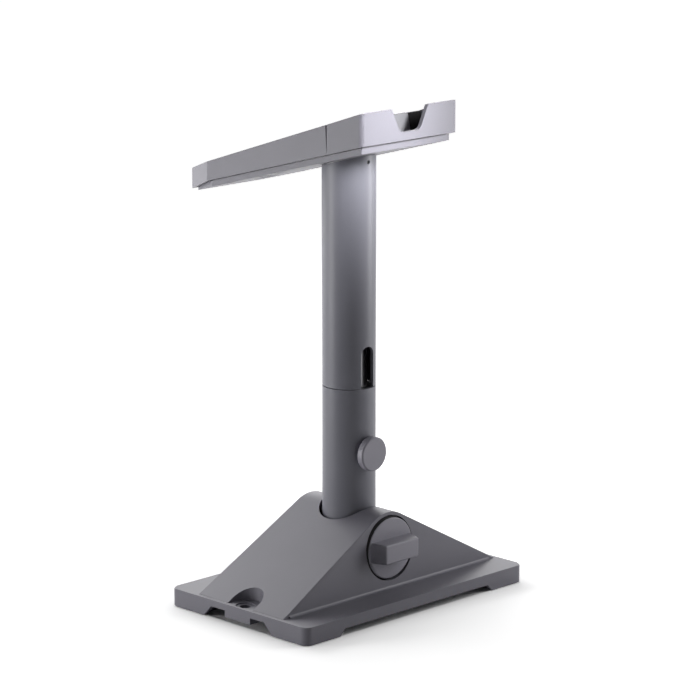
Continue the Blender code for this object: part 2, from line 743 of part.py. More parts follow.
def upper_tube():
    """Build the upper tube, cut to the head's slope on top and slotted for the cable at its foot."""
    upper = tube(TUBE_BORE, TUBE_R, SEAM_Z + SEAM / 2, HEAD_TOP_Z, 56)
    upper = add("upper_tube", upper, "mast", "grey_tube")
    reach = TUBE_R + SLACK
    waste = slab(rectangle(-reach, -reach, reach, reach), above(panel_low, -GAP), HEAD_TOP_Z + SLACK)
    radius = SLOT_WIDE / 2
    outline = [(-radius, SEAM_Z - SLACK), (radius, SEAM_Z - SLACK)]
    for k in range(17):
        angle = math.pi * k / 16
        outline.append((radius * math.cos(angle), SEAM_Z + SLOT_HIGH - radius + radius * math.sin(angle)))
    slot = bar_y(outline, -TUBE_R - SLACK, -TUBE_BORE + 4 * SLACK)
    screw = rod(SET_SCREW_R + GAP / 2, -TUBE_R - SLACK, 0.0, 16, (0, SET_SCREW_Z), True)
    cut(upper, add("tube_end", waste, "mast"), add("cable_slot", slot, "mast"))
    cut(upper, add("set_screw_hole", screw, "mast"))


def inner_tube():
    """Build the sliding inner tube with the ring that joins it to the upper tube and its foot glide."""
    inner = tube(INNER_R - INNER_WALL, INNER_R, INNER_LOW, INNER_TOP, 40)
    add("inner_tube", inner, "mast", "dark_steel")
    glide = tube(INNER_R + GAP, BUSHED_R, INNER_LOW, INNER_LOW + GLIDE_HIGH, 28)
    add("glide_ring", glide, "mast", "dark_plastic")
    ring = tube(INNER_R + GAP, BUSHED_R, INNER_TOP - JOIN_HIGH, INNER_TOP, 36)
    ring = add("joining_ring", ring, "mast", "dark_plastic")
    half = SLOT_WIDE / 2
    gap = slab(rectangle(-half, -TUBE_R, half, 0), INNER_TOP - JOIN_HIGH - SLACK, INNER_TOP + SLACK)
    cut(ring, add("ring_gap", gap, "mast"))


def head_spigot():
    """Build the bored spigot that fits the upper tube and carries the head on a sloping flange."""
    flange = rounded(rectangle(-FLANGE_HALF, FLANGE_REAR_Y, FLANGE_HALF, FLANGE_FRONT_Y), [3.0] * 4, 3)
    spigot = slab(flange, above(shell_low, GAP), above(shell_low, GAP + FLANGE_THICK))
    spigot = add("head_spigot", spigot, "mast", "alloy")
    foot = shell_low(0) - SPIGOT_LONG
    neck = slab(circle(BUSHED_R, 40), foot, above(shell_low, GAP + FLANGE_THICK / 2))
    join(spigot, add("spigot_neck", neck, "mast"))
    bore = rod(SPIGOT_BORE_R, foot - SLACK, HEAD_TOP_Z, 28)
    screw = rod(SET_SCREW_R + GAP / 2, -TUBE_R, -SPIGOT_BORE_R + SLACK, 16, (0, SET_SCREW_Z), True)
    cut(spigot, add("spigot_bore", bore, "mast"), add("spigot_screw_hole", screw, "mast"))


def set_screw():
    """Build the headless screw that pins the upper tube to the spigot."""
    start, end = -TUBE_R + SLACK, -SPIGOT_BORE_R - SLACK
    add("set_screw", rod(SET_SCREW_R, start, end, 16, (0, SET_SCREW_Z), True), "mast", "steel")


def head_outline(inset, rear, split):
    """Return the head's plan between two Y values, inset from its sides and front."""
    half, tip = HEAD_HALF - inset, HEAD_TIP_HALF - inset * 0.8
    front = HEAD_TIP_Y - inset
    fillet = max(HEAD_FILLET - inset, 0.6)
    if split:
        points = rectangle(-half, rear, half, split)
        return rounded(points, [fillet, fillet, 0, 0])
    shoulder = HEAD_SHOULDER_Y - inset * 0.2
    points = [(-half, rear), (half, rear), (half, shoulder), (tip, front), (-tip, front), (-half, shoulder)]
    back = fillet if rear < HEAD_SPLIT_Y else 0
    return rounded(points, [back, back, fillet, fillet, fillet, fillet])


def head_front_shell():
    """Build the front shell, open below, with the chin that wraps the panel's tip and two screw bosses."""
    rear = HEAD_SPLIT_Y + SPLIT_GAP
    shell = slab(head_outline(0.0, rear, None), panel_low, head_top)
    soften(shell, HEAD_EDGE, lambda co: co.z > head_top(co.y) - GAP and co.y > rear + GAP)
    shell = add("head_front_shell", shell, "mast", "grey_shell")
    step = HEAD_HALF + SLACK
    below = above(panel_low, -SLACK)
    under = slab(rectangle(-step, rear - SLACK, step, HEAD_SHOULDER_Y), below, shell_low)
    chin = slab(rectangle(-step, HEAD_SHOULDER_Y, step, HEAD_TIP_Y + SLACK), below, chin_low)
    room = slab(head_outline(HEAD_WALL, rear - SLACK, None), below, above(head_top, -HEAD_WALL))
    cut(shell, add("shell_step", under, "mast"), add("chin_step", chin, "mast"))
    cut(shell, add("shell_room", room, "mast"), add("split_taper", split_taper(rear), "mast"))
    for side in (-1, 1):
        x0, x1 = sorted((side * (PANEL_SCREW_X - BOSS_HALF), side * (HEAD_HALF - HEAD_WALL / 2)))
        y0, y1 = PANEL_SCREW_FRONT_Y - BOSS_HALF, PANEL_SCREW_FRONT_Y + BOSS_HALF
        boss = slab(rectangle(x0, y0, x1, y1), above(shell_low, GAP), above(head_top, -HEAD_WALL / 2))
        join(shell, add(f"front_boss_{side}", boss, "mast"))
        hole = screw_hole(side * PANEL_SCREW_X, PANEL_SCREW_FRONT_Y)
        cut(shell, add(f"front_boss_hole_{side}", hole, "mast"))


def split_taper(rear):
    """Build the cutter that opens the seam between the shells towards its top."""
    low, high = shell_low(rear), head_top(rear) + SLACK
    lean = rear + SPLIT_GAP_TOP - SPLIT_GAP
    points = [(rear - SLACK, low), (rear, low), (lean, high), (rear - SLACK, high)]
    return bar_x(points, -HEAD_HALF - SLACK, HEAD_HALF + SLACK)


def screw_hole(x, y):
    """Build the cutter for a panel screw's thread."""
    high = above(shell_low, PANEL_SCREW_LONG - PANEL_THICK + SLACK)
    return slab(circle(PANEL_SCREW_R + GAP, 12, (x, y)), above(panel_low, -SLACK), high)


def head_rear_shell():
    """Build the rear shell: an open-topped bay with the cable notch in its rear wall."""
    shell = slab(head_outline(0.0, HEAD_REAR_Y, HEAD_SPLIT_Y), shell_low, head_top)
    soften(shell, HEAD_EDGE, lambda co: co.z > head_top(co.y) - GAP and co.y < HEAD_SPLIT_Y - GAP)
    shell = add("head_rear_shell", shell, "mast", "grey_shell")
    half = HEAD_HALF - HEAD_WALL
    bay = rounded(rectangle(-half, HEAD_REAR_Y + HEAD_WALL, half, HEAD_SPLIT_Y + SLACK), [1.0, 1.0, 0, 0], 3)
    room = slab(bay, above(shell_low, HEAD_WALL), above(head_top, SLACK))
    cut(shell, add("bay_room", room, "mast"), add("bay_notch", bay_notch(), "mast"))
    for side in (-1, 1):
        x0, x1 = sorted((side * (PANEL_SCREW_X - BOSS_HALF), side * (HEAD_HALF - HEAD_WALL / 2)))
        y0, y1 = PANEL_SCREW_REAR_Y - BOSS_HALF, PANEL_SCREW_REAR_Y + BOSS_HALF
        low, high = above(shell_low, HEAD_WALL / 2), above(shell_low, HEAD_WALL + BOSS_HALF)
        join(shell, add(f"rear_boss_{side}", slab(rectangle(x0, y0, x1, y1), low, high), "mast"))
        hole = screw_hole(side * PANEL_SCREW_X, PANEL_SCREW_REAR_Y)
        cut(shell, add(f"rear_boss_hole_{side}", hole, "mast"))


def bay_notch():
    """Build the cutter for the cable notch, wider at its open top than at its foot."""
    low = HEAD_TOP_Z - NOTCH_DEEP
    high = HEAD_TOP_Z + 2 * SLACK
    widen = (NOTCH_TOP - NOTCH_LOW) / 2 / NOTCH_DEEP * 2 * SLACK
    top = NOTCH_TOP / 2 + widen
    points = [(-NOTCH_LOW / 2, low), (NOTCH_LOW / 2, low), (top, high), (-top, high)]
    outline = rounded(points, [NOTCH_FILLET, NOTCH_FILLET, 0, 0], 6)
    return bar_y(outline, HEAD_REAR_Y - SLACK, HEAD_REAR_Y + HEAD_WALL + SLACK)


def head_bottom_panel():
    """Build the bottom panel with its openings for the column, lens, lights and screws."""
    outline = head_outline(PANEL_INSET, HEAD_REAR_Y + PANEL_INSET, None)
    panel = add("head_bottom_panel", slab(outline, panel_low, above(shell_low, -GAP)), "mast", "grey_plastic")
    under, over = above(panel_low, -SLACK), above(shell_low, SLACK)
    cut(panel, add("neck_hole", slab(circle(BUSHED_R + GAP, 40), under, over), "mast"))
    lens = (0.0, LENS_Y)
    seat = above(panel_low, WINDOW_THICK + 2 * GAP)
    cut(panel, add("lens_hole", slab(circle(LENS_R + GAP, 24, lens), under, over), "mast"))
    cut(panel, add("window_seat", slab(circle(WINDOW_R + GAP, 28, lens), under, seat), "mast"))
    for side in (-1, 1):
        cut(panel, add(f"light_hole_{side}", slab(light_outline(side, GAP), under, over), "mast"))
    for i, (x, y) in enumerate(panel_screw_points()):
        head = slab(circle(PANEL_SCREW_HEAD_R + GAP, 14, (x, y)), under, above(panel_low, SCREW_HEAD))
        cut(panel, add(f"panel_hole_{i}", slab(circle(PANEL_SCREW_R + GAP, 12, (x, y)), under, over), "mast"))
        cut(panel, add(f"panel_seat_{i}", head, "mast"))


def panel_screw_points():
    """Return the plan points of the four panel screws."""
    sides = (-PANEL_SCREW_X, PANEL_SCREW_X)
    return [(x, y) for y in (PANEL_SCREW_REAR_Y, PANEL_SCREW_FRONT_Y) for x in sides]


def panel_screws():
    """Build the four screws that hold both shells to the panel."""
    for i, point in enumerate(panel_screw_points(), 1):
        top = above(panel_low, SCREW_HEAD - GAP)
        head = slab(circle(PANEL_SCREW_HEAD_R, 14, point), above(panel_low, GAP), top)
        screw = add(f"panel_screw_{i}", head, "mast", "steel")
        high = above(panel_low, PANEL_SCREW_LONG)
        shank = slab(circle(PANEL_SCREW_R, 12, point), above(panel_low, SCREW_HEAD / 2), high)
        join(screw, add(f"panel_shank_{i}", shank, "mast"))


def light_outline(side, extra):
    """Return the plan of one light window."""
    x0, x1 = side * LED_X - LED_HALF_X - extra, side * LED_X + LED_HALF_X + extra
    return rounded(rectangle(x0, LED_Y - LED_HALF_Y - extra, x1, LED_Y + LED_HALF_Y + extra), [2.0] * 4, 3)


def head_lights():
    """Build the two light boards and the diffusers below them."""
    for side, word in ((-1, "left"), (1, "right")):
        lens = slab(light_outline(side, 0.0), above(panel_low, GAP), above(shell_low, -GAP))
        add(f"led_diffuser_{word}", lens, "mast", "diffuser")
        outline = light_outline(side, LED_BOARD_MARGIN)
        board = slab(outline, above(shell_low, GAP), above(shell_low, GAP + BOARD_THICK))
        add(f"led_board_{word}", board, "mast", "board_green")


def head_camera():
    """Build the camera module, its lens barrel and the window flush in the panel."""
    lens = (0.0, LENS_Y)
    window = slab(circle(WINDOW_R, 28, lens), above(panel_low, GAP), above(panel_low, GAP + WINDOW_THICK))
    add("lens_window", window, "mast", "lens_glass")
    low, high = above(panel_low, 3 * GAP + WINDOW_THICK), above(shell_low, GAP)
    add("lens_barrel", slab(circle(LENS_R, 24, lens), low, high), "mast", "dark_plastic")
    outline = rectangle(-CAMERA_HALF, LENS_Y - CAMERA_HALF, CAMERA_HALF, LENS_Y + CAMERA_HALF)
    body = slab(outline, above(shell_low, 2 * GAP), above(shell_low, 2 * GAP + CAMERA_HIGH))
    add("camera_module", body, "mast", "dark_plastic")


def main_board():
    """Build the main circuit board between the spigot and the camera."""
    outline = rectangle(-MAIN_HALF, FLANGE_FRONT_Y + 3 * SLACK, MAIN_HALF, MAIN_FRONT_Y)
    board = slab(outline, above(shell_low, MAIN_RISE), above(shell_low, MAIN_RISE + BOARD_THICK))
    add("main_board", board, "mast", "board_green")


def bay_plates():
    """Build the light plate that carries the sockets and the black plate that ends the bay."""
    left = -(HEAD_HALF - HEAD_WALL - GAP)
    rear, front = SOCKET_PLATE_Y - SOCKET_PLATE_THICK / 2, SOCKET_PLATE_Y + SOCKET_PLATE_THICK / 2
    low, high = shell_low(rear) + HEAD_WALL + GAP, head_top(front) - SLACK
    left_low = low + BOSS_HALF + GAP
    step = -PANEL_SCREW_X + BOSS_HALF + GAP
    points = [(left, left_low), (step, left_low), (step, low),
              (SOCKET_PLATE_LOW_X, low), (SOCKET_PLATE_TOP_X, high), (left, high)]
    plate = bar_y(rounded(points, [0, 0, 0, 0, 2.5, 0], 4), rear, front)
    plate = add("socket_plate", plate, "mast", "light_plate")
    middle = socket_z()
    usb = bar_y(usb_outline(GAP), rear - SLACK, front + SLACK)
    power = rod(POWER_R + GAP, rear - SLACK, front + SLACK, 20, (POWER_X, middle), True)
    cut(plate, add("usb_hole", usb, "mast"), add("power_hole", power, "mast"))
    half = HEAD_HALF - HEAD_WALL - GAP
    end = HEAD_SPLIT_Y
    outline = rectangle(-half, end - END_PLATE_THICK, half, end)
    bay_end = slab(outline, above(shell_low, HEAD_WALL + GAP), above(head_top, -GAP * 2))
    add("bay_end_plate", bay_end, "mast", "dark_plastic")


def socket_z():
    """Return the height of the two sockets, half way up the plate."""
    return (shell_low(SOCKET_PLATE_Y) + head_top(SOCKET_PLATE_Y)) / 2 + HEAD_WALL / 2


def usb_outline(extra):
    """Return the outline of the data socket in X and Z."""
    half, high = USB_WIDE / 2 + extra, USB_HIGH / 2 + extra
    return rectangle(USB_X - half, socket_z() - high, USB_X + half, socket_z() + high)


def bay_sockets():
    """Build the data socket and the power inlet, both open towards the rear."""
    mouth = SOCKET_PLATE_Y - SOCKET_PLATE_THICK / 2 - GAP
    usb = add("usb_socket", bar_y(usb_outline(0.0), mouth, mouth + USB_LONG), "mast", "steel")
    room = bar_y(usb_outline(-SHEET), mouth - SLACK, mouth + USB_LONG - SHEET)
    cut(usb, add("usb_room", room, "mast"))
    middle = socket_z()
    back = mouth + POWER_LONG
    deep = back - 2 * SHEET
    bore = POWER_R - 2 * SHEET
    profile = [(0, mouth + SHEET), (SHEET, mouth + SHEET), (SHEET, deep), (bore, deep), (bore, mouth),
               (POWER_R, mouth), (POWER_R, back), (0, back)]
    add("power_socket", turned(profile, 20, (POWER_X, middle), True), "mast", "dark_plastic")


def main():
    """Build every sub-part at rest."""
    clear_scene()
    make_bodies()
    base_housing()
    foot_rails()
    screw_feet()
    foot_pads()
    ballast_plate()
    base_screws()
    column_socket()
    spindle_bush()
    clamp_knob()
    clamp_spindle()
    clamp_shoe()
    lower_tube()
    height_screw()
    upper_tube()
    inner_tube()
    head_spigot()
    set_screw()
    head_front_shell()
    head_rear_shell()
    head_bottom_panel()
    panel_screws()
    head_lights()
    head_camera()
    main_board()
    bay_plates()
    bay_sockets()


main()
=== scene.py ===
"""Looks of the overhead scanner stand: finishes, fine detail, studio and camera.

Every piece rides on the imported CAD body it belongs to. Lengths are metres in the row
frame: X along the base, Y towards the head's tip, Z up from the table.
"""

from __future__ import annotations

import json
import logging
import math
from collections.abc import Callable
from dataclasses import dataclass, field
from enum import Enum

import bmesh
import bpy
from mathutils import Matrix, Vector

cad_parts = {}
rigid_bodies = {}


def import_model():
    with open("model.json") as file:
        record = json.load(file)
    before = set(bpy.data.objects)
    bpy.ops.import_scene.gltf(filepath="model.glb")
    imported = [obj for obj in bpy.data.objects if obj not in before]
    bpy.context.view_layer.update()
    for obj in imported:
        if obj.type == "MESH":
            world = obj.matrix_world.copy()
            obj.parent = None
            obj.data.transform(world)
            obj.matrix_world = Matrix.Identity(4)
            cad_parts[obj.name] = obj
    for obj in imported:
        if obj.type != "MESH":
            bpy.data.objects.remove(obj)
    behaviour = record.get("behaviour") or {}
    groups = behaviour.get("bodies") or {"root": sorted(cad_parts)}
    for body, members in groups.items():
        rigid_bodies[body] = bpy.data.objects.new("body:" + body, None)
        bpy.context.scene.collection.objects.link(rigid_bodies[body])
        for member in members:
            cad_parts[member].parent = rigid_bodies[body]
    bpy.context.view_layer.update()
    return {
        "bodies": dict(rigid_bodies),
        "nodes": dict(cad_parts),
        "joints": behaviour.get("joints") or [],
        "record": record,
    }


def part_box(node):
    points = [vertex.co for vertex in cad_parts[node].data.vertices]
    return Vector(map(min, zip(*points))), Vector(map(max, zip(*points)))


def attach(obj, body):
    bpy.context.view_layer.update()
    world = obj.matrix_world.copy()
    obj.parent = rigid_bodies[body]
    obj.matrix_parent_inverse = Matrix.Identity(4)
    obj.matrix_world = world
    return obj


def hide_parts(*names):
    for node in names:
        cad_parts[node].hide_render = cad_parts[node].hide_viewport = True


LOG = logging.getLogger("scanner_scene")
COLUMN_Y = -0.0285
TUBE_RADIUS = 0.0194
COLUMN_AIM = (0.0, COLUMN_Y, 0.2)

FINE_EDGE = 0.0002
EDGE = 0.0003
BROAD_EDGE = 0.0004
SMOOTH_ANGLE = 38.0
WELD = 2e-6
SPUN_WELD = 1e-6
PLANAR_ANGLE = 0.6

COAT_ROUGHNESS = 0.12
LOWEST_ROUGHNESS = 0.02
GRAIN_OCTAVES = 3.0
PATCH_OCTAVES = 2.0
PATCH_SCALE = 22.0
PATCH_RAMP = (0.3, 0.7)
SPECK = (0.94, 1.06)
BUMP_STRENGTH = 0.6


class Body(Enum):
    """CAD bodies that pieces ride on."""

    BASE = "base"
    CLAMP_KNOB = "clamp_knob"
    CLAMP_SHOE = "clamp_shoe"
    COLUMN = "column"
    THUMB_TIP = "thumb_tip"
    THUMB_SCREW = "thumb_screw"
    MAST = "mast"


class Slot(Enum):
    """Material slots of the record."""

    SHELL = "grey_shell"
    TUBE = "grey_tube"
    GREY = "grey_plastic"
    DARK = "dark_plastic"
    DARK_STEEL = "dark_steel"
    STEEL = "steel"
    ALLOY = "alloy"
    BRASS = "brass"
    # black rubber of the pads, also used as painted shade on the band round the clamp disc
    RUBBER_AND_SHADE = "rubber"
    LIGHT = "light_plate"
    BOARD = "board_green"
    DIFFUSER = "diffuser"
    GLASS = "lens_glass"


class Axis(Enum):
    """Axes a turned piece may lie along."""

    Y = "Y"
    Z = "Z"


@dataclass(frozen=True)
class Finish:
    """A procedural surface made of two noises and a bump on Object coordinates.

    Args:
        slot: record slot that the finish is for.
        colour: linear base colour.
        roughness: mean roughness.
        metallic: zero for plastics and coatings, one for bare metal.
        grain: size of the fine grain in metres.
        bump: height of the grain in metres.
        cloud: share by which the colour drifts over wide patches.
        spread: how far the roughness varies either way.
        stretch: scale of the grain along each axis, for brushed metal.
        transmission: share of light let through.
        coat: weight of a clear coat.
        specular: level of the mirror-like share.
    """

    slot: Slot
    colour: tuple[float, float, float]
    roughness: float
    metallic: float = 0.0
    grain: float = 0.0006
    bump: float = 0.00002
    cloud: float = 0.05
    spread: float = 0.05
    stretch: tuple[float, float, float] = (1.0, 1.0, 1.0)
    transmission: float = 0.0
    coat: float = 0.0
    specular: float = 0.5

    def build(self) -> bpy.types.Material:
        """Make the material.

        Returns:
            The node material, named after its slot.
        """
        material = bpy.data.materials.new(f"look_{self.slot.value}")
        material.use_nodes = True
        tree = material.node_tree
        shader = tree.nodes["Principled BSDF"]
        shader.inputs["Metallic"].default_value = self.metallic
        shader.inputs["Transmission Weight"].default_value = self.transmission
        shader.inputs["Coat Weight"].default_value = self.coat
        shader.inputs["Specular IOR Level"].default_value = self.specular
        shader.inputs["Coat Roughness"].default_value = COAT_ROUGHNESS
        place = tree.nodes.new("ShaderNodeTexCoord")
        mapping = tree.nodes.new("ShaderNodeMapping")
        mapping.inputs["Scale"].default_value = self.stretch
        tree.links.new(place.outputs["Object"], mapping.inputs["Vector"])
        fine = self._noise(tree, mapping, 1.0 / self.grain, GRAIN_OCTAVES)
        wide = self._noise(tree, mapping, PATCH_SCALE, PATCH_OCTAVES)
        self._colour(tree, shader, wide, fine)
        rough = tree.nodes.new("ShaderNodeMapRange")
        rough.inputs["To Min"].default_value = max(LOWEST_ROUGHNESS, self.roughness - self.spread)
        rough.inputs["To Max"].default_value = min(1.0, self.roughness + self.spread)
        tree.links.new(fine.outputs["Fac"], rough.inputs["Value"])
        tree.links.new(rough.outputs["Result"], shader.inputs["Roughness"])
        bump = tree.nodes.new("ShaderNodeBump")
        bump.inputs["Strength"].default_value = BUMP_STRENGTH
        bump.inputs["Distance"].default_value = self.bump
        tree.links.new(fine.outputs["Fac"], bump.inputs["Height"])
        tree.links.new(bump.outputs["Normal"], shader.inputs["Normal"])
        return material

    @staticmethod
    def _noise(tree: bpy.types.NodeTree, mapping: bpy.types.Node, scale: float,
               detail: float) -> bpy.types.Node:
        """Add a noise texture.

        Args:
            tree: node tree to add to.
            mapping: node that gives the coordinates.
            scale: noise scale per metre.
            detail: octaves.

        Returns:
            The noise node.
        """
        noise = tree.nodes.new("ShaderNodeTexNoise")
        noise.inputs["Scale"].default_value = scale
        noise.inputs["Detail"].default_value = detail
        tree.links.new(mapping.outputs["Vector"], noise.inputs["Vector"])
        return noise

    def _colour(self, tree: bpy.types.NodeTree, shader: bpy.types.Node, wide: bpy.types.Node,
                fine: bpy.types.Node) -> None:
        """Join the two noises to the base colour.

        Args:
            tree: node tree to add to.
            shader: Principled node.
            wide: noise of the broad patches.
            fine: noise of the grain.
        """
        ramp = tree.nodes.new("ShaderNodeValToRGB")
        for element, share in zip(ramp.color_ramp.elements, (1 - self.cloud, 1 + self.cloud)):
            element.color = (*[min(1.0, c * share) for c in self.colour], 1.0)
        ramp.color_ramp.elements[0].position = PATCH_RAMP[0]
        ramp.color_ramp.elements[1].position = PATCH_RAMP[1]
        speck = tree.nodes.new("ShaderNodeMapRange")
        speck.inputs["To Min"].default_value = SPECK[0]
        speck.inputs["To Max"].default_value = SPECK[1]
        mix = tree.nodes.new("ShaderNodeVectorMath")
        mix.operation = "SCALE"
        tree.links.new(wide.outputs["Fac"], ramp.inputs["Fac"])
        tree.links.new(fine.outputs["Fac"], speck.inputs["Value"])
        tree.links.new(ramp.outputs["Color"], mix.inputs[0])
        tree.links.new(speck.outputs["Result"], mix.inputs["Scale"])
        tree.links.new(mix.outputs["Vector"], shader.inputs["Base Color"])


FINISHES: tuple[Finish, ...] = (
    Finish(Slot.SHELL, (0.163, 0.158, 0.188), 0.5, bump=0.00003, cloud=0.03),
    Finish(Slot.TUBE, (0.170, 0.170, 0.201), 0.42, bump=0.00002, cloud=0.02, specular=0.4),
    Finish(Slot.GREY, (0.29, 0.28, 0.327), 0.48, bump=0.00003, cloud=0.03),
    Finish(Slot.DARK, (0.012, 0.012, 0.013), 0.5, bump=0.00002),
    Finish(Slot.DARK_STEEL, (0.2, 0.2, 0.21), 0.33, 1.0, stretch=(1.0, 1.0, 0.05), bump=0.00001),
    Finish(Slot.STEEL, (0.46, 0.46, 0.47), 0.34, 1.0, stretch=(0.08, 1.0, 1.0), bump=0.00001),
    Finish(Slot.ALLOY, (0.55, 0.55, 0.56), 0.45, 1.0, grain=0.0009, bump=0.00004),
    Finish(Slot.BRASS, (0.62, 0.43, 0.17), 0.32, 1.0, stretch=(1.0, 0.1, 1.0), bump=0.00001),
    # black rubber; the same finish is the painted shade of the band round the clamp disc
    Finish(Slot.RUBBER_AND_SHADE, (0.02, 0.02, 0.021), 0.85, grain=0.0004, bump=0.00006, cloud=0.2),
    Finish(Slot.LIGHT, (0.2, 0.2, 0.215), 0.45, bump=0.00002),
    Finish(Slot.BOARD, (0.015, 0.09, 0.045), 0.4, grain=0.0012, cloud=0.25, coat=0.5),
    Finish(Slot.DIFFUSER, (0.85, 0.85, 0.83), 0.4, transmission=0.15, bump=0.00003),
    Finish(Slot.GLASS, (0.02, 0.025, 0.03), 0.06, spread=0.02, bump=0.000002, coat=1.0),
)


@dataclass
class Workshop:
    """Makes pieces in the row frame and hangs them on their CAD bodies.

    Args:
        looks: material of each slot.
        flat_depth: how far a tube's flats may lie inside its true radius.
    """

    frame: dict
    looks: dict[Slot, bpy.types.Material] = field(default_factory=dict)
    flat_depth: float = 0.0002

    def prepare(self) -> None:
        """Build every finish once."""
        for finish in FINISHES:
            self.looks[finish.slot] = finish.build()

    def place(self, name: str, bm: bmesh.types.BMesh, body: Body, slot: Slot,
              smooth: float = SMOOTH_ANGLE) -> bpy.types.Object:
        """Turn a bmesh into a finished piece.

        Args:
            name: piece name.
            bm: mesh in the row frame, freed here.
            body: CAD body that it rides on.
            slot: record slot of its finish.
            smooth: angle in degrees above which an edge stays sharp.

        Returns:
            The new object.
        """
        mesh = bpy.data.meshes.new(name)
        bm.to_mesh(mesh)
        bm.free()
        mesh.shade_smooth()
        self.weigh_normals(mesh, math.radians(smooth))
        mesh.materials.append(self.looks[slot])
        piece = bpy.data.objects.new(name, mesh)
        bpy.context.scene.collection.objects.link(piece)
        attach(piece, body.value)
        return piece

    @staticmethod
    def weigh_normals(mesh: bpy.types.Mesh, limit: float) -> None:
        """Weigh corner normals by face area, so that broad flats stay flat beside rounded edges.

        Args:
            mesh: mesh to shade.
            limit: angle in radians above which an edge stays sharp.
        """
        around: list[list[bpy.types.MeshPolygon]] = [[] for _ in mesh.vertices]
        for face in mesh.polygons:
            for index in face.vertices:
                around[index].append(face)
        normals = []
        for face in mesh.polygons:
            for index in face.vertices:
                near = [other for other in around[index] if other.normal.dot(face.normal) > math.cos(limit)]
                total = sum((other.normal * other.area for other in near), Vector())
                normals.append(total.normalized())
        mesh.normals_split_custom_set(normals)

    def skin(self, node: str, body: Body, slot: Slot, bevel: float = 0.0, sharp: float = 30.0,
             smooth: float = SMOOTH_ANGLE,
             reshape: Callable[[bmesh.types.BMesh], None] | None = None) -> bpy.types.Object:
        """Replace a CAD node with a smooth-shaded copy whose edges may be rounded.

        Args:
            node: CAD node to stand for.
            body: CAD body of the node.
            slot: record slot of its finish.
            bevel: edge radius in metres, zero for none.
            sharp: angle in degrees above which an edge is rounded.
            smooth: angle in degrees above which an edge stays sharp.
            reshape: what moves the copy's vertices before its edges are rounded, or None.

        Returns:
            The new piece.
        """
        bm = bmesh.new()
        bm.from_mesh(self.frame["nodes"][node].data)
        bmesh.ops.remove_doubles(bm, verts=bm.verts, dist=WELD)
        bmesh.ops.dissolve_limit(bm, angle_limit=math.radians(PLANAR_ANGLE), verts=bm.verts, edges=bm.edges)
        if reshape:
            reshape(bm)
        if bevel:
            edges = [e for e in bm.edges if e.is_manifold and e.calc_face_angle(0.0) > math.radians(sharp)]
            bmesh.ops.bevel(bm, geom=edges, offset=bevel, offset_type="OFFSET", segments=2, profile=0.5,
                            affect="EDGES", clamp_overlap=False, material=-1)
        piece = self.place(f"{node}_skin", bm, body, slot, smooth)
        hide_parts(node)
        return piece

    def true_round(self, piece: bpy.types.Object, radius: float) -> None:
        """Give the flats of a column tube the normals of a true cylinder.

        Args:
            piece: skin of the tube.
            radius: outside radius of the tube.
        """
        mesh = piece.data
        normals = [corner.vector.copy() for corner in mesh.corner_normals]
        for face in mesh.polygons:
            points = [mesh.vertices[index].co for index in face.vertices]
            outs = [Vector((point.x, point.y - COLUMN_Y, 0.0)) for point in points]
            inside = min(out.length for out in outs) < radius - self.flat_depth
            if inside or face.normal.dot(outs[0]) <= 0.0:
                continue
            for loop, out in zip(face.loop_indices, outs):
                normals[loop] = out.normalized()
        mesh.normals_split_custom_set(normals)

    def turned(self, profile: list[tuple[float, float]], centre: Vector, axis: Axis,
               steps: int) -> bmesh.types.BMesh:
        """Spin a profile of (radius, height) into a closed solid.

        Args:
            profile: points from the axis round the section and back to the axis.
            centre: point on the axis at height zero.
            axis: axis to spin about.
            steps: segments of the full turn.

        Returns:
            The bmesh, in the row frame.
        """
        bm = bmesh.new()
        up = Vector((0, 0, 1)) if axis is Axis.Z else Vector((0, 1, 0))
        across = Vector((1, 0, 0))
        verts = [bm.verts.new(centre + across * r + up * h) for r, h in profile]
        edges = [bm.edges.new(pair) for pair in zip(verts, verts[1:])]
        bmesh.ops.spin(bm, geom=verts + edges, cent=centre, axis=up, angle=2 * math.pi, steps=steps,
                       use_merge=True)
        bmesh.ops.remove_doubles(bm, verts=bm.verts, dist=SPUN_WELD)
        bmesh.ops.recalc_face_normals(bm, faces=bm.faces)
        return bm


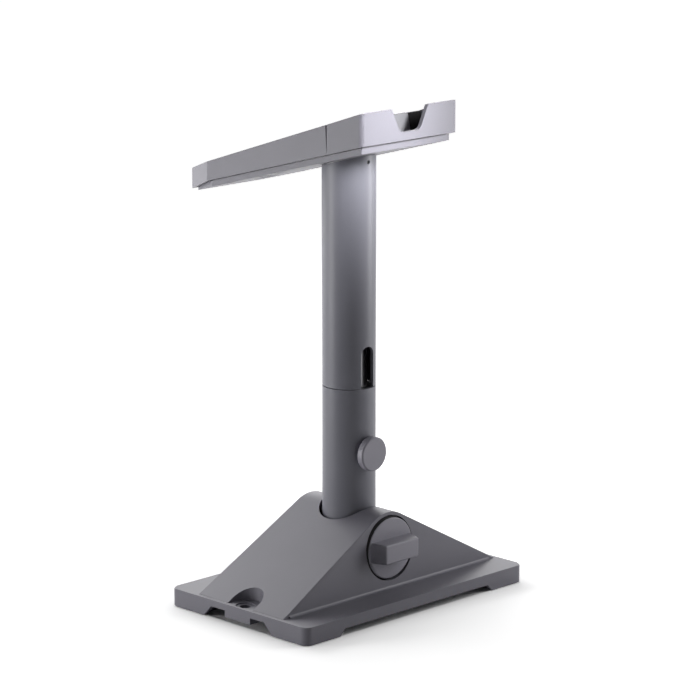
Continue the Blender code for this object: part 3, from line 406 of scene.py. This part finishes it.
@dataclass
class Base:
    """Weighted base with its pads, ballast, screws and column socket.

    Args:
        shop: workshop that makes the pieces.
        gap: working gap between the base's solids.
        rail_top: height of the foot rails.
        pocket_x: distance of a screw pocket's centre from the column.
        pocket_radius: radius of a screw pocket.
        pad_radius: radius of a rubber pad.
        pad_high: thickness of a pad.
        pad_edge: chamfer of a pad's lower edge.
        pad_margin: width at a pad's rim without rings.
        pad_rings: rings in a pad's underside.
        pad_steps: segments round a pad.
        ring_wide: width of a ring.
        ring_deep: depth of a ring.
        ring_slope: run of a ring's sloping side.
    """

    shop: Workshop
    gap: float = 0.0003
    rail_top: float = 0.0083
    pocket_x: float = 0.1035
    pocket_radius: float = 0.013
    pad_radius: float = 0.009
    pad_high: float = 0.0018
    pad_edge: float = 0.0003
    pad_margin: float = 0.0012
    pad_rings: int = 4
    pad_steps: int = 48
    ring_wide: float = 0.0008
    ring_deep: float = 0.0003
    ring_slope: float = 0.0002

    def build(self) -> None:
        """Build every piece that stays with the table."""
        self.shop.skin("base_housing", Body.BASE, Slot.SHELL)
        for word in ("front", "back"):
            rail = self.shop.skin(f"foot_rail_{word}", Body.BASE, Slot.SHELL)
            for vert in rail.data.vertices:
                if vert.co.z > self.rail_top - self.gap / 2:
                    vert.co.z = self.rail_top + self.gap
        for side, word in ((-1, "left"), (1, "right")):
            self.close_foot(self.shop.skin(f"screw_foot_{word}", Body.BASE, Slot.SHELL), side)
        self.shop.skin("ballast_plate", Body.BASE, Slot.STEEL, EDGE)
        self.shop.skin("column_socket", Body.BASE, Slot.DARK)
        self.shop.skin("spindle_bush", Body.BASE, Slot.BRASS, FINE_EDGE)
        for kind in ("ballast_screw", "socket_screw"):
            for i in range(1, 5):
                self.shop.skin(f"{kind}_{i}", Body.BASE, Slot.STEEL, FINE_EDGE)
        for i in range(1, 5):
            self.pad(i)

    def close_foot(self, foot: bpy.types.Object, side: int) -> None:
        """Widen a screw foot by its working gap, so that it meets the pocket's wall.

        Args:
            foot: skin of the screw foot.
            side: minus one at the left end, one at the right.
        """
        centre = Vector((side * self.pocket_x, COLUMN_Y))
        edge = self.pocket_radius - 2 * self.gap
        for vert in foot.data.vertices:
            out = vert.co.xy - centre
            if side * out.x > 0:
                if abs(out.y) > edge:
                    vert.co.y = COLUMN_Y + math.copysign(self.pocket_radius, out.y)
            elif out.length > edge:
                vert.co.xy = centre + out.normalized() * self.pocket_radius

    def pad(self, index: int) -> None:
        """Build one rubber pad with rings moulded in its underside.

        Args:
            index: number of the pad's CAD node.
        """
        low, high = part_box(f"foot_pad_{index}")
        centre = Vector(((low.x + high.x) / 2, (low.y + high.y) / 2, low.z))
        step = (self.pad_radius - self.pad_margin) / self.pad_rings
        profile = [(0.0, 0.0)]
        for k in range(self.pad_rings):
            start = step * (k + 0.5)
            stop = start + self.ring_wide
            profile += [(start, 0.0), (start + self.ring_slope, self.ring_deep)]
            profile += [(stop - self.ring_slope, self.ring_deep), (stop, 0.0)]
        profile += [(self.pad_radius - self.pad_edge, 0.0), (self.pad_radius, self.pad_edge)]
        profile += [(self.pad_radius, self.pad_high), (0.0, self.pad_high)]
        mesh = self.shop.turned(profile, centre, Axis.Z, self.pad_steps)
        piece = self.shop.place(f"foot_pad_{index}_ringed", mesh, Body.BASE, Slot.RUBBER_AND_SHADE)
        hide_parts(f"foot_pad_{index}")


@dataclass
class Clamp:
    """Quarter-turn clamp with its spindle and shoe.

    Args:
        shop: workshop that makes the pieces.
        bar_edge: edge radius of the knob and its grip bar.
        axis_z: height of the knob's axis.
        disc_radius: radius of the knob's disc.
        disc_front: where the disc's front face lies along Y.
        disc_deep: thickness of the disc.
        band: thickness of the dark band round the disc.
        band_steps: segments round the band.
        bar_half: half length and half height that hold the grip bar.
        bar_taller: share by which the bar grows in height.
        bar_end: distance from the disc past which a point is on the bar's end.
        bar_longer: how much further out the bar's end stands.
    """

    shop: Workshop
    bar_edge: float = 0.0004
    axis_z: float = 0.043
    disc_radius: float = 0.0225
    disc_front: float = -0.07088
    disc_deep: float = 0.005
    band: float = 0.00006
    band_steps: int = 96
    bar_half: Vector = field(default_factory=lambda: Vector((0.02105, 0.0066)))
    bar_taller: float = 1.18
    bar_end: float = 0.0064
    bar_longer: float = 0.0016

    def build(self) -> None:
        """Build the clamp's pieces."""
        self.shop.skin("clamp_knob", Body.CLAMP_KNOB, Slot.GREY, self.bar_edge, reshape=self.grip)
        # painted shade: a thin black band over the disc's side wall, where the gap round the disc lies in
        # shade
        self.painted_shade_band()
        self.shop.skin("clamp_spindle", Body.CLAMP_KNOB, Slot.STEEL, EDGE)
        self.shop.skin("clamp_shoe", Body.CLAMP_SHOE, Slot.DARK)

    def grip(self, bm: bmesh.types.BMesh) -> None:
        """Make the grip bar a little taller and longer, as it looks in the photo.

        Args:
            bm: copy of the clamp knob.
        """
        for vert in bm.verts:
            rise = vert.co.z - self.axis_z
            on_bar = abs(vert.co.x) < self.bar_half.x and abs(rise) < self.bar_half.y
            if on_bar and vert.co.y < self.disc_front + self.band:
                vert.co.z = self.axis_z + rise * self.bar_taller
            if vert.co.y < self.disc_front - self.bar_end:
                vert.co.y -= self.bar_longer

    def painted_shade_band(self) -> None:
        """Build the thin black band round the knob's disc: painted shade over the disc's side wall, which
        lies in shade in the gap.
        """
        inner, outer = self.disc_radius, self.disc_radius + self.band
        low, high = self.bar_edge, self.disc_deep - self.bar_edge
        profile = [(inner, low), (outer, low), (outer, high), (inner, high), (inner, low)]
        centre = Vector((0.0, self.disc_front, self.axis_z))
        mesh = self.shop.turned(profile, centre, Axis.Y, self.band_steps)
        # the black rubber finish serves here as painted shade, not as a rubber part
        self.shop.place("clamp_painted_shade_band", mesh, Body.CLAMP_KNOB, Slot.RUBBER_AND_SHADE)


@dataclass
class Column:
    """Lower tube with its bushes, and the height screw.

    Args:
        shop: workshop that makes the pieces.
        lip: edge radius of a bush or tube end.
    """

    shop: Workshop
    lip: float = 0.0003

    def build(self) -> None:
        """Build the lower tube, its inner pieces and the height screw."""
        self.shop.true_round(self.shop.skin("lower_tube", Body.COLUMN, Slot.TUBE), TUBE_RADIUS)
        self.shop.skin("tube_plug", Body.COLUMN, Slot.DARK)
        self.shop.skin("guide_bush", Body.COLUMN, Slot.DARK, self.lip)
        self.shop.skin("thumb_insert", Body.COLUMN, Slot.BRASS, FINE_EDGE)
        self.shop.skin("thumb_knob", Body.THUMB_SCREW, Slot.GREY)
        self.shop.skin("thumb_stem", Body.THUMB_SCREW, Slot.STEEL, EDGE)
        self.shop.skin("thumb_tip", Body.THUMB_TIP, Slot.DARK, EDGE)


@dataclass
class Mast:
    """Upper tube, sliding inner tube, rings and spigot.

    Args:
        shop: workshop that makes the pieces.
        lip: edge radius of a bush or tube end.
    """

    shop: Workshop
    lip: float = 0.0003

    def build(self) -> None:
        """Build the pieces between the column and the head."""
        self.shop.true_round(self.shop.skin("upper_tube", Body.MAST, Slot.TUBE), TUBE_RADIUS)
        self.shop.skin("inner_tube", Body.MAST, Slot.DARK_STEEL, self.lip)
        self.shop.skin("glide_ring", Body.MAST, Slot.DARK, self.lip)
        self.shop.skin("joining_ring", Body.MAST, Slot.DARK)
        self.shop.skin("head_spigot", Body.MAST, Slot.ALLOY)
        self.shop.skin("set_screw", Body.MAST, Slot.DARK)


@dataclass
class Head:
    """Shells, bottom panel, bay and optics of the head.

    Args:
        shop: workshop that makes the pieces.
        crease: angle in degrees above which a shell's edge stays sharp.
        seam_y: where the foot of the shells' seam lies along Y.
        seam_gap: width of the seam at its foot.
    """

    shop: Workshop
    crease: float = 20.0
    seam_y: float = -0.0542
    seam_gap: float = 0.00028

    def build(self) -> None:
        """Build the head."""
        self.shop.skin("head_front_shell", Body.MAST, Slot.SHELL, smooth=self.crease, reshape=self.close_seam)
        self.shop.skin("head_rear_shell", Body.MAST, Slot.SHELL, smooth=self.crease)
        panel = self.shop.skin("head_bottom_panel", Body.MAST, Slot.GREY)
        panel.data.materials[0] = self.shop.looks[Slot.SHELL]
        for i in range(1, 5):
            self.shop.skin(f"panel_screw_{i}", Body.MAST, Slot.STEEL)
        self.shop.skin("socket_plate", Body.MAST, Slot.LIGHT)
        self.shop.skin("bay_end_plate", Body.MAST, Slot.DARK, EDGE)
        self.shop.skin("usb_socket", Body.MAST, Slot.STEEL)
        self.shop.skin("power_socket", Body.MAST, Slot.DARK)
        self.shop.skin("camera_module", Body.MAST, Slot.DARK, BROAD_EDGE)
        self.shop.skin("lens_barrel", Body.MAST, Slot.DARK, EDGE)
        self.shop.skin("lens_window", Body.MAST, Slot.GLASS, FINE_EDGE)
        for side in ("left", "right"):
            self.shop.skin(f"led_board_{side}", Body.MAST, Slot.BOARD, FINE_EDGE)
            self.shop.skin(f"led_diffuser_{side}", Body.MAST, Slot.DIFFUSER, EDGE)
        self.shop.skin("main_board", Body.MAST, Slot.BOARD, FINE_EDGE)

    def close_seam(self, bm: bmesh.types.BMesh) -> None:
        """Close the foot of the seam between the shells, which tapers out in the photo.

        Args:
            bm: copy of the front shell.
        """
        for vert in bm.verts:
            if vert.co.y < self.seam_y + self.seam_gap / 2:
                vert.co.y -= self.seam_gap


@dataclass(frozen=True)
class Softbox:
    """One area light, aimed at a point of the stand.

    Args:
        name: light name.
        position: place in the row frame.
        target: point that it faces.
        size: width and height.
        power: watts.
        spread: full angle of the beam in degrees.
    """

    name: str
    position: tuple[float, float, float]
    target: tuple[float, float, float]
    size: tuple[float, float]
    power: float
    spread: float = 180.0

    def build(self) -> None:
        """Add the light to the scene."""
        lamp = bpy.data.lights.new(self.name, "AREA")
        lamp.shape = "RECTANGLE"
        lamp.size, lamp.size_y = self.size
        lamp.energy = self.power
        lamp.spread = math.radians(self.spread)
        light = bpy.data.objects.new(self.name, lamp)
        bpy.context.scene.collection.objects.link(light)
        light.visible_camera = False
        light.location = self.position
        aim = Vector(self.target) - Vector(self.position)
        light.rotation_euler = aim.to_track_quat("-Z", "Y").to_euler()


@dataclass
class Studio:
    """White floor, softboxes, world and camera.

    Args:
        target: point that the camera looks at.
        azimuth: camera's turn about Z in degrees.
        elevation: camera's rise in degrees.
        distance: camera's distance from the target.
        lens: focal length in millimetres.
        sensor: sensor width in millimetres.
        shift: lens shift across and up.
        clip_end: how far the camera sees.
        floor_half: half the floor's width.
        floor_shade: grey level of the floor.
        floor_rough: roughness of the floor.
        floor_specular: level of the floor's mirror-like share.
        shaded_half: half sizes of the patch under the base that doesn't glow.
        ambient: strength of the world as a light.
        floor_glow: strength of the floor's glow beside the stand.
        glow_reach: distances between which the glow rises to full white.
        shade_reach: distance within which the stand darkens the glow, a painted contact shadow.
        shade_samples: samples of that darkening.
        lights: lamps of the studio.
    """

    target: tuple[float, float, float] = (0.0, COLUMN_Y, 0.1807)
    azimuth: float = -45.0
    elevation: float = 12.9
    distance: float = 2.3672
    lens: float = 169.7
    sensor: float = 36.0
    shift: tuple[float, float] = (0.0015, 0.0025)
    clip_end: float = 100.0
    floor_half: float = 15.0
    floor_shade: float = 0.9
    floor_rough: float = 0.9
    floor_specular: float = 0.1
    shaded_half: tuple[float, float] = (0.1095, 0.068)
    ambient: float = 0.0
    floor_glow: float = 0.6
    glow_reach: tuple[float, float] = (0.12, 0.5)
    shade_reach: float = 0.05
    shade_samples: int = 16
    lights: tuple[Softbox, ...] = (
        Softbox("softbox_back", (0.731, 0.702, 0.576), COLUMN_AIM, (0.6, 0.6), 3.8),
        Softbox("softbox_left", (0.09, 1.001, 0.576), COLUMN_AIM, (0.6, 0.6), 5.6),
        Softbox("low_left", (-0.901, 0.602, 0.162), COLUMN_AIM, (0.4, 0.4), 6.1),
        Softbox("low_right", (0.901, -0.659, 0.162), COLUMN_AIM, (0.4, 0.4), 1.7),
        Softbox("side_fill", (0.41, -0.347, 0.29), (0.0, -0.06, 0.34), (0.25, 0.25), 1.2),
        Softbox("rear_fill", (-0.02, -0.33, 0.47), (-0.02, -0.0885, 0.362), (0.1, 0.1), 0.12, 30.0),
        Softbox("tip_fill", (-0.104, 0.326, 0.29), (0.0, 0.0, 0.33), (0.25, 0.25), 0.3),
    )

    def build(self) -> None:
        """Build the whole studio."""
        self.floor()
        self.world()
        for light in self.lights:
            light.build()
        self.camera()
        bpy.context.scene.view_settings.view_transform = "Standard"

    def floor(self) -> None:
        """Add the pale floor, lifted to white for rays that show the backdrop."""
        bm = bmesh.new()
        far, (near_x, near_y) = self.floor_half, self.shaded_half
        signs = ((-1, -1), (1, -1), (1, 1), (-1, 1))
        halves = ((far, far), (near_x, near_y))
        rings = [[bm.verts.new((x * a, COLUMN_Y + y * b, 0.0)) for a, b in signs] for x, y in halves]
        for k in range(4):
            following = (k + 1) % 4
            bm.faces.new((rings[0][k], rings[0][following], rings[1][following], rings[1][k]))
        bm.faces.new(rings[1]).material_index = 1
        mesh = bpy.data.meshes.new("studio_floor")
        bm.to_mesh(mesh)
        bm.free()
        floor = bpy.data.objects.new("studio_floor", mesh)
        bpy.context.scene.collection.objects.link(floor)
        for glow in (self.floor_glow, 0.0):
            mesh.materials.append(self.floor_finish(glow))

    def floor_finish(self, strength: float) -> bpy.types.Material:
        """Make the floor's matt finish, with a painted contact shadow round the stand.

        Args:
            strength: light added for rays that show the backdrop, zero under the base.

        Returns:
            The material.
        """
        material = bpy.data.materials.new("studio_floor")
        material.use_nodes = True
        tree = material.node_tree
        shader = tree.nodes["Principled BSDF"]
        shader.inputs["Base Color"].default_value = (*[self.floor_shade] * 3, 1.0)
        shader.inputs["Roughness"].default_value = self.floor_rough
        shader.inputs["Specular IOR Level"].default_value = self.floor_specular
        if strength:
            shader.inputs["Emission Color"].default_value = (1.0, 1.0, 1.0, 1.0)
            # painted contact shadow: ambient occlusion darkens the glow near the stand
            shade = tree.nodes.new("ShaderNodeAmbientOcclusion")
            shade.samples = self.shade_samples
            shade.inputs["Distance"].default_value = self.shade_reach
            place = tree.nodes.new("ShaderNodeTexCoord")
            away = tree.nodes.new("ShaderNodeVectorMath")
            away.operation = "LENGTH"
            level = tree.nodes.new("ShaderNodeMapRange")
            level.interpolation_type = "SMOOTHSTEP"
            level.inputs["From Min"].default_value, level.inputs["From Max"].default_value = self.glow_reach
            level.inputs["To Min"].default_value = strength
            level.inputs["To Max"].default_value = 1.0
            dimmed = tree.nodes.new("ShaderNodeMath")
            dimmed.operation = "MULTIPLY"
            glow = tree.nodes.new("ShaderNodeMath")
            glow.operation = "MULTIPLY"
            tree.links.new(place.outputs["Object"], away.inputs[0])
            tree.links.new(away.outputs["Value"], level.inputs["Value"])
            tree.links.new(level.outputs["Result"], dimmed.inputs[0])
            tree.links.new(shade.outputs["AO"], dimmed.inputs[1])
            tree.links.new(dimmed.outputs["Value"], glow.inputs[0])
            tree.links.new(self.backdrop_rays(tree), glow.inputs[1])
            tree.links.new(glow.outputs["Value"], shader.inputs["Emission Strength"])
        return material

    def world(self) -> None:
        """Set a surround that is white for rays that show the backdrop."""
        world = bpy.data.worlds.new("studio_world")
        bpy.context.scene.world = world
        world.use_nodes = True
        tree = world.node_tree
        background = tree.nodes["Background"]
        background.inputs["Color"].default_value = (1.0, 1.0, 1.0, 1.0)
        level = tree.nodes.new("ShaderNodeMapRange")
        level.inputs["To Min"].default_value = self.ambient
        level.inputs["To Max"].default_value = 1.0
        tree.links.new(self.backdrop_rays(tree), level.inputs["Value"])
        tree.links.new(level.outputs["Result"], background.inputs["Strength"])

    @staticmethod
    def backdrop_rays(tree: bpy.types.NodeTree) -> bpy.types.NodeSocket:
        """Add the test for rays that show the backdrop: camera, glossy and transmission rays.

        Args:
            tree: node tree to add to.

        Returns:
            The socket that is one for such a ray and zero for any other.
        """
        path = tree.nodes.new("ShaderNodeLightPath")
        shown = path.outputs["Is Camera Ray"]
        for kind in ("Is Glossy Ray", "Is Transmission Ray"):
            either = tree.nodes.new("ShaderNodeMath")
            either.operation = "MAXIMUM"
            tree.links.new(shown, either.inputs[0])
            tree.links.new(path.outputs[kind], either.inputs[1])
            shown = either.outputs["Value"]
        return shown

    def camera(self) -> None:
        """Place the long-lens camera at the photo's angle."""
        lens = bpy.data.cameras.new("photo_camera")
        lens.lens = self.lens
        lens.sensor_width = self.sensor
        lens.shift_x, lens.shift_y = self.shift
        lens.clip_end = self.clip_end
        camera = bpy.data.objects.new("photo_camera", lens)
        bpy.context.scene.collection.objects.link(camera)
        a, e = math.radians(self.azimuth), math.radians(self.elevation)
        back = Vector((math.sin(a) * math.cos(e), -math.cos(a) * math.cos(e), math.sin(e)))
        camera.location = Vector(self.target) + back * self.distance
        camera.rotation_euler = (-back).to_track_quat("-Z", "Y").to_euler()
        bpy.context.scene.camera = camera


def clear_scene() -> None:
    """Remove the startup objects."""
    for obj in list(bpy.data.objects):
        bpy.data.objects.remove(obj, do_unlink=True)


def main() -> None:
    """Build the looks, the studio and the camera."""
    logging.basicConfig(level=logging.INFO)
    clear_scene()
    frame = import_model()
    shop = Workshop(frame)
    shop.prepare()
    for part in (Base(shop), Clamp(shop), Column(shop), Mast(shop), Head(shop)):
        LOG.info("building %s", type(part).__name__)
        part.build()
    Studio().build()


if __name__ == "__main__":
    main()
